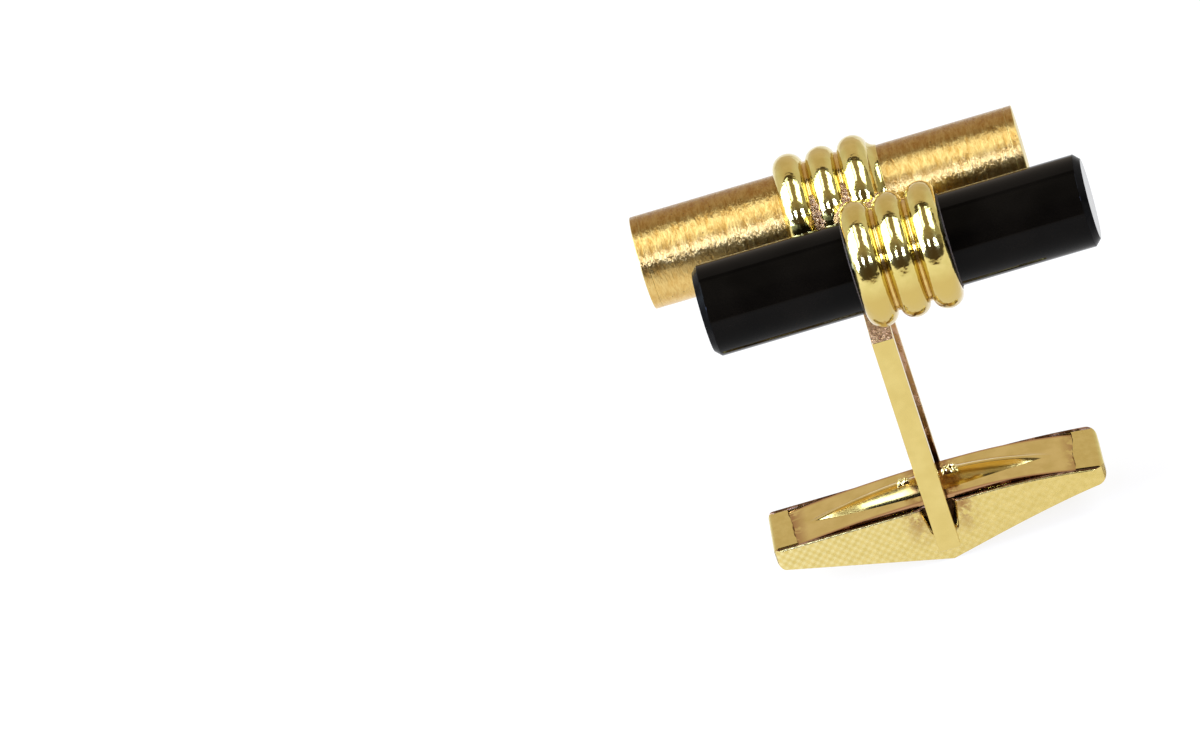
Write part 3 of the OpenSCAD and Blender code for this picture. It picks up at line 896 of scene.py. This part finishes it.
def folds(a, b, seed, size, waves=14):
    """Crumpled height over two coordinates: a sum of plane waves in seeded directions, each
    weaker as it gets shorter, folded by an absolute value."""
    rng = np.random.default_rng(seed)
    total = np.zeros_like(a)
    for number in range(waves):
        turn_by, phase = rng.uniform(0, 2 * math.pi, 2)
        pitch = FOLD_PITCH / (1 + 0.35 * number)
        total += np.abs(np.sin(2 * math.pi * (a * math.cos(turn_by) + b * math.sin(turn_by))
                               / pitch + phase)) / (1 + 0.5 * number)
    return size * (total / total.max() - 0.5)


def bed(name, node, x_low, x_high, half, base, side, top, seed):
    """Bed of solder: over -1..1 along and across, its face stands at the first number of top,
    plus the second times the square of the way across, plus folds. It sinks towards its rim
    with the eighth power of the distance."""
    u, v = np.meshgrid(np.linspace(-1, 1, 90), np.linspace(-1, 1, 60), indexing="ij")
    x = (x_low + x_high) / 2 + u * (x_high - x_low) / 2
    y = v * half
    face = top[0] + top[1] * v ** 2 + folds(x, y, seed, BED_FOLDS)
    face = face - (face - BED_RIM) * np.maximum(np.abs(u), np.abs(v)) ** 8
    rings = two_faced(xyz(x, y, base + side * face), xyz(x, y, base - side * BED_SUNK))
    piece(name, rings, solder_copper, "face", [node], sharp=60)


for side, end, seed in ((1, "top", 11), (-1, "bottom", 12)):
    low, high = limits("seam_solder_" + end)
    bed("seam_bead_" + end, "seam_solder_" + end, low[0] - SEAM_PAST, high[0] + SEAM_PAST,
        SEAM_HALF, low[2] if side > 0 else high[2], side, (0.45, 0.35), seed)
low, high = limits("strap_solder")
bed("strap_bed", "strap_solder", low[0] + STRAP_BED_INSET, high[0] - STRAP_BED_INSET,
    high[1] * STRAP_BED_WIDE, low[2], 1, (0.35, 0.55), 13)


# %% Let the solder run up the gold collar
SKIN_DEEP, SKIN_SHARE, SKIN_FALL, SKIN_FOLDS = 0.42, 0.35, 0.34, 0.30
SKIN_RIM, SKIN_UNDER = 0.12, 0.05
FALL_FROM, FALL_OVER = 26, 42
UP_LOW, UP_HIGH = -4, 62
SKIN_LEFT, SKIN_RIGHT = gold_ribs[0] + 0.1, gold_ribs[2] + 0.8


def round_gold(x, radius, angle):
    """Points at a radius round the gold rod, at an angle up from the onyx side."""
    return xyz(x, GOLD_Y - radius * np.cos(angle), ROD_Z + radius * np.sin(angle))


def solder_skin():
    """Rings of the skin over the feet of the gold ribs: a grid over x and the angle. Its
    radius follows a share of the ribs' own circles, so that the ribs still show, falls
    further up, and sinks to the sleeve at its ragged rim, with folds on top."""
    x, up = np.meshgrid(np.linspace(SKIN_LEFT, SKIN_RIGHT, 170), np.linspace(0, 1, 80),
                        indexing="ij")
    ragged = UP_HIGH + 6 * np.sin(3.5 * x + 0.5) + 4 * np.sin(6.3 * x) + 2 * np.sin(13 * x + 1)
    angle = np.radians(UP_LOW + up * (ragged - UP_LOW))
    away = np.min(np.abs(x[..., None] - np.array(gold_ribs)), axis=-1)
    circle = CREST - WIRE_R + np.sqrt(np.clip(WIRE_R ** 2 - away ** 2, 0.0, None))
    valley = CREST - SKIN_DEEP + SKIN_SHARE * np.maximum(circle - CREST + SKIN_DEEP, 0)
    fall = SKIN_FALL * ease((np.degrees(angle) - FALL_FROM) / FALL_OVER)
    radius = valley - fall + folds(x, angle * CREST, 21, SKIN_FOLDS, 26)
    aside = np.abs(2 * (x - SKIN_LEFT) / (SKIN_RIGHT - SKIN_LEFT) - 1)
    edge = np.maximum(aside, np.abs(2 * up - 1)) ** 10
    radius = radius - (radius - GOLD_R - SKIN_RIM) * edge
    return two_faced(round_gold(x, radius, angle), round_gold(x, GOLD_R + SKIN_UNDER, angle))


piece("solder_run_on_gold_collar", solder_skin(), solder_copper, "face", (), sharp=75)


# %% [markdown]
# The toggle's side walls
#
# The toggle is a little boat folded from sheet gold. Each side wall is flat, rounded over at
# the rim, and pressed inwards beside the leg. The wall is a thin closed ring of points in
# height and depth, repeated along the boat: its foot and rim follow the boat's outline, and
# the pressed dent moves the ring inwards near the post. Years of use have bent the right end
# of the toggle down a little, and its plate and tabs with it.

# %% Describe the boat
BOAT_HALF, RIM_Z = middle("toggle_shell")[1][0], limits("toggle_shell")[1][2]
END_H, SHEET = 1.2, 0.28
END_LOW = RIM_Z - END_H
LOW_CORNER, RIM_CORNER, KEEL_CORNER = 0.504, 0.252, 0.14
TAB_LEN, TAB_SLIT = 1.35, 0.06
MOUTH = BOAT_HALF - TAB_LEN
DENT_IN, DENT_HALF, DENT_FOOT, DENT_DROP, DENT_SLOPE = 0.30, 1.10, 0.75, 1.70, 0.24
DISH_IN, DISH_HALF, DISH_DROP = 0.05, 1.5, 1.3
KEEL_SLOPE = math.atan(END_LOW / BOAT_HALF)


def boat_low(x):
    """Height of the boat's foot: the keel's slope, with the low end corner as an arc."""
    slope = np.abs(x) * END_LOW / BOAT_HALF
    half = (math.pi / 2 + KEEL_SLOPE) / 2
    centre_x = BOAT_HALF - LOW_CORNER
    centre_z = (END_LOW - LOW_CORNER * math.tan(KEEL_SLOPE)
                + LOW_CORNER / math.cos(KEEL_SLOPE))
    away = np.clip(np.abs(x) - centre_x, 0, LOW_CORNER)
    arc = centre_z - np.sqrt(LOW_CORNER ** 2 - away ** 2)
    keel = KEEL_CORNER / math.cos(KEEL_SLOPE) - np.sqrt(
        np.clip(KEEL_CORNER ** 2 - x ** 2, 0, None))
    start = centre_x + LOW_CORNER * math.sin(KEEL_SLOPE)
    foot = np.where(np.abs(x) > start, arc, slope)
    return np.where(np.abs(x) < KEEL_CORNER * math.sin(KEEL_SLOPE), keel, foot)


def boat_high(x):
    """Height of the boat's rim, with the rim's end corner as an arc."""
    away = np.clip(np.abs(x) - BOAT_HALF + RIM_CORNER, 0, RIM_CORNER)
    return RIM_Z - RIM_CORNER + np.sqrt(RIM_CORNER ** 2 - away ** 2)


def dent(x, z):
    """How far the wall is pressed in: full inside an outline that narrows downwards, easing
    out over its slope, inside a much wider and shallower dish."""
    down = (RIM_Z - z) / DENT_DROP
    width = DENT_HALF + (DENT_FOOT - DENT_HALF) * down
    pressed = ease((width - np.abs(x)) / DENT_SLOPE) * ease((1 - down) * DENT_DROP / DENT_SLOPE)
    below = np.clip(RIM_Z - z, 0, None)
    dish = DISH_IN * np.exp(-(x / DISH_HALF) ** 2 - (below / DISH_DROP) ** 2)
    return np.maximum(DENT_IN * pressed, dish)


# %% Fold up the side walls
WALL_EDGE = 0.07
RIM_ROUND = 0.11
ROUND_LEFT, ROUND_RIGHT = 0.54, 0.80
BEND_START, BEND_FOOT, BEND_REAR, BEND_FRONT = 2.5, 0.26, 0.42, 0.70


def end_round(x):
    """How far the boat's side is drawn in near its ends: a quarter circle seen from above."""
    radius = np.where(x > 0, ROUND_RIGHT, ROUND_LEFT)
    past = np.clip((np.abs(x) - BOAT_HALF + radius) / radius, 0, 1)
    return radius * (1 - np.sqrt(1 - past ** 2))


def bent_by_use(points):
    """The right end of the boat bent down: the drop grows with the square of the way to the
    end. At the foot it is the same all across, and at the rim it grows from rear to front."""
    way = np.clip((points[..., 0] - POST_X - BEND_START) / (BOAT_HALF - BEND_START), 0, 1)
    rim = np.clip(points[..., 2] / RIM_Z, 0, 1) ** 4
    front = 0.5 - points[..., 1] / (2 * BOAT_W)
    at_rim = BEND_REAR + (BEND_FRONT - BEND_REAR) * front
    bent = points.copy()
    bent[..., 2] -= way ** 2 * (BEND_FOOT + rim * (at_rim - BEND_FOOT))
    return bent


# The rings stand closest at the dent and round the ends.
x_fine = np.r_[np.linspace(0, 1.7, 60), np.linspace(1.8, BOAT_HALF - 0.82, 22),
               BOAT_HALF - 0.8 + 0.8 * np.sin(quarter(24))]
x_walls = np.r_[-x_fine[:0:-1], x_fine]


def side_wall(side, name):
    """Rings of a side wall over the boat's length, in bands of height and depth: foot, outer
    face, rounded rim, inner face. Both ends are drawn in to round the upright edges."""
    x = x_walls[:, None]
    foot, rim = boat_low(x), boat_high(x)
    edge = np.minimum(WALL_EDGE, (rim - foot) / 4)
    top = np.minimum(RIM_ROUND, (rim - foot) / 4)
    face = (foot + edge) + np.linspace(0, 1, 34) * (rim - top - foot - edge)
    t, finer = quarter(6), quarter(7)[1:]
    bands = [(foot + edge * (1 - np.sin(t[::-1])), edge * (1 - np.cos(t[::-1]))),
             (face[:, 1:], 0), (rim - top + top * np.sin(finer), top * (1 - np.cos(finer))),
             (rim - top + top * np.cos(t), SHEET - top + top * np.sin(t)),
             (face[:, -2::-1], SHEET), (foot, SHEET)]
    z = np.concatenate([height for height, depth in bands], 1)
    y = np.concatenate([np.broadcast_to(depth, height.shape) for height, depth in bands], 1)
    y = np.maximum(y, end_round(x)) + dent(x, z)
    rings = xyz(x + POST_X, side * (BOAT_W - y), z)
    made = piece(name, bent_by_use(rings), toggle_gold, "toggle", ["toggle_shell"],
                 sharp=38, extra=[inner_gold_painted_shade])
    # The rim's inner half gets the brown gold with painted shade: a dark painted line along the
    # rim.
    colour_faces(made, lambda centre, normal: (normal[:, 2] > 0.2) & (centre[:, 2] > 2.4)
                 & (np.abs(centre[:, 1]) < BOAT_W - RIM_ROUND * 0.6), 1)


side_wall(-1, "boat_wall_front")
side_wall(1, "boat_wall_rear")


# %% [markdown]
# Keel, ends and tabs
#
# A second strip of the same sheet makes the bottom of the boat, turns up at both ends and
# folds over as the tabs that hold the spring plate. It is a path with a thickness: the outer
# path and the inner path have the same corners, so their points pair up. The tabs are a
# little narrower than the boat and were cut off by hand, so their edges are not straight.

# %% Fold the keel strip
def strip_path(by, radii):
    """Boat outline from one tab's edge to the other, moved inwards, with its own radii."""
    end, top = BOAT_HALF - by, RIM_Z - by
    keel = by / math.cos(KEEL_SLOPE)
    foot = keel + end * math.tan(KEEL_SLOPE)
    half = [(-MOUTH, top, 0), (-end, top, radii[0]), (-end, foot, radii[1])]
    return rounded(half + [(0, keel, radii[2])] + mirrored(half), 8, closed=False)


outer = strip_path(0, (RIM_CORNER, LOW_CORNER, KEEL_CORNER))
inner = strip_path(SHEET, (0.03, LOW_CORNER - SHEET, 0.03))
fine = np.linspace(0, 1, 12)


def densify(path):
    """Extra points along the first and last straight, where the tabs are."""
    start = path[0] + (path[1] - path[0]) * fine[:-1, None]
    end = path[-2] + (path[-1] - path[-2]) * fine[1:, None]
    return np.concatenate([start, path[1:-1], end])


outer, inner = densify(outer), densify(inner)
ON_TAB = (outer[:, 1] > RIM_Z - 0.01) & (np.abs(outer[:, 0]) < BOAT_HALF - RIM_CORNER)
half_w = np.where(ON_TAB, BOAT_W - SHEET - TAB_SLIT, BOAT_W - SHEET)[:, None]
half_w = np.minimum(half_w, BOAT_W - end_round(outer[:, :1]) - 0.01)
y = half_w * np.linspace(-1, 1, 41)


def hand_cut(x, y):
    """How far a tab's edge leaves its straight line: a slant and two waves for each end."""
    left = -0.10 - 0.06 * y + 0.03 * np.sin(3.1 * y + 0.4) + 0.015 * np.sin(9 * y)
    right = 0.09 - 0.07 * y + 0.05 * np.sin(2.6 * y + 2.0) + 0.012 * np.sin(11 * y)
    return np.where(x < 0, left, -right)


def strip_side(path):
    """Points of one face of the strip: the path's x and z at every y, and on the tabs x goes
    over to the hand-cut edge towards the mouth."""
    x = path[:, :1]
    towards = np.clip((BOAT_HALF - RIM_CORNER - np.abs(x)) / (TAB_LEN - RIM_CORNER), 0, 1)
    return xyz(x + POST_X + towards * ON_TAB[:, None] * hand_cut(x, y), y, path[:, 1:])


keel = piece("boat_keel_and_tabs", bent_by_use(two_faced(strip_side(outer), strip_side(inner))),
             tab_gold, "toggle", ["toggle_shell"], sharp=30, extra=[inner_gold_painted_shade])
# The tabs' cut edges at the mouth get the brown gold with painted shade: a dark painted line.
colour_faces(keel, lambda centre, normal: (np.abs(normal[:, 0]) > 0.7)
             & (np.abs(centre[:, 0] - POST_X) < MOUTH + 0.2), 1)


# %% [markdown]
# The spring plate
#
# A thin polished strip closes the boat. Its ends lie under the tabs and its middle is bowed
# up over the square cam on the pin, so the toggle clicks into place at every quarter turn. A
# ridge shaped like a long leaf stiffens it. The plate is a height over length and width: a
# shallow arc with the ridge on top, whose two slopes are nearly flat so that each one
# catches a whole lamp. Beside the post the sheet is a little crumpled.

# %% Press the spring plate
low, high = limits("toggle_spring_plate")
PLATE_HALF, PLATE_W, PLATE_T = (high[0] - low[0]) / 2, high[1], 0.20
BOW, ARC_TOP = 0.44, 3.83
ARC_R = (MOUTH ** 2 + BOW ** 2) / (2 * BOW)
REACH_LEFT, REACH_RIGHT, RIDGE_HIGH, RIDGE_HALF = 7.0, 6.7, 0.54, 1.12
CREST_ROUND, TOE = 0.10, 0.1


def plate_arc(x):
    """Height of the bowed plate: a circle over the boat's length."""
    return ARC_TOP - ARC_R + np.sqrt(ARC_R ** 2 - x ** 2)


def ridge_share(x):
    """How much of the ridge is left: one less the square of the way to its tip, so that its
    outline is a leaf of two arcs."""
    return np.clip(1 - (x / np.where(x < 0, REACH_LEFT, REACH_RIGHT)) ** 2, 0, 1)


def ridge_height(x):
    """The ridge's height: it follows the leaf, and fades faster towards the right tip."""
    return RIDGE_HIGH * ridge_share(x) ** np.where(x > 0, 1.3, 1.0)


# The points stand closest beside the post and at the ridge's tips.
x_half = np.r_[np.linspace(0, 1.7, 40), np.linspace(1.75, 6.0, 80), np.linspace(6.03, 7.2, 40),
               np.linspace(7.25, PLATE_HALF, 12)]
x = np.r_[-x_half[:0:-1], x_half][:, None]
foot = np.maximum(RIDGE_HALF * ridge_share(x), 0.05)
inner_v = np.linspace(-1, 1, 41)[None]
outer_v = np.linspace(0, 1, 12)[None]
y = np.concatenate([-PLATE_W + outer_v * (PLATE_W - foot), foot * inner_v[:, 1:-1],
                    foot + outer_v * (PLATE_W - foot)], 1)


def plate_face(drop):
    """One face of the plate: the shallow arc, plus a ridge with two nearly flat slopes that
    end a toe's width inside its foot. The crest is rounded: the distance from the middle is
    the root of its square plus the rounding squared, less the rounding."""
    from_middle = np.sqrt(y ** 2 + CREST_ROUND ** 2) - CREST_ROUND
    toe = TOE * np.clip((foot - TOE) / 0.5, 0, 1)
    slope = np.clip(1 - from_middle / (foot - toe), 0, 1)
    height = plate_arc(x) + ridge_height(x) * slope ** 0.9 - drop
    return xyz(x + POST_X, y, height)


piece("bowed_spring_plate", bent_by_use(two_faced(plate_face(0), plate_face(PLATE_T))),
      plate_gold, "toggle", ["toggle_spring_plate"], sharp=20)


# %% Crumple the plate beside the post
BEAD_RIM, BEAD_SUNK = 0.05, 0.15


def crumple_bead(name, x_middle, half_x, half_y, high, seed):
    """A low bead of crumpled gold on the ridge: over -1..1 both ways, a cushion that is high
    in the middle and gone at its rim, with folds on it, on the plate's own height."""
    u, v = np.meshgrid(np.linspace(-1, 1, 60), np.linspace(-1, 1, 50), indexing="ij")
    a, b = x_middle + u * half_x, v * half_y
    cushion = np.clip(1 - np.maximum(np.abs(u), np.abs(v)) ** 3, 0, 1)
    crest = plate_arc(a) + ridge_height(a) * np.clip(1 - np.abs(b) / RIDGE_HALF, 0, 1)
    top = crest - BEAD_RIM + cushion * (high + folds(a, b, seed, high * 1.5, 7))
    rings = two_faced(xyz(a + POST_X, b, top), xyz(a + POST_X, b, crest - BEAD_SUNK))
    piece(name, rings, plate_gold, "toggle", (), sharp=50)


crumple_bead("plate_crumple_left", x_middle=-1.50, half_x=0.40, half_y=0.30, high=0.20, seed=31)
crumple_bead("plate_crumple_right", x_middle=1.10, half_x=0.50, half_y=0.42, high=0.20, seed=32)


# %% [markdown]
# The small parts that stay as they are
#
# The pin's ends were filed flush with the legs and polished over, so they can't be seen: the
# pin stops just under the skin. The cam, the two spacers and the cement are plain solids in
# the real cufflink too, and mostly hidden. They keep their CAD shape and get a finish.

# %% Turn the pin
low, high = limits("pivot_pin")
(_, _, PIN_Z), (_, _, PIN_R) = middle("pivot_pin")
SUNK = 0.06
profile = rounded([(low[1] + SUNK, PIN_R * 0.8, 0), (low[1] + SUNK, PIN_R, 0.03),
                   (high[1] - SUNK, PIN_R, 0.03), (high[1] - SUNK, PIN_R * 0.8, 0)], 3,
                  closed=False)
rings = turned(profile, 0, PIN_Z, 48)
rings = xyz(POST_X + rings[..., 1], rings[..., 0], rings[..., 2])
piece("pin_filed_flush", rings, strap_gold, "face", ["pivot_pin"])

# %% Finish the small parts
KEPT = {"pivot_cam": valley_gold, "leg_spacer_front": valley_gold,
        "leg_spacer_rear": valley_gold, "onyx_cement": cement_brown}
for node, finish in KEPT.items():
    for kept_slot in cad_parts[node].material_slots:
        kept_slot.material = finish
print("kept:", list(KEPT))
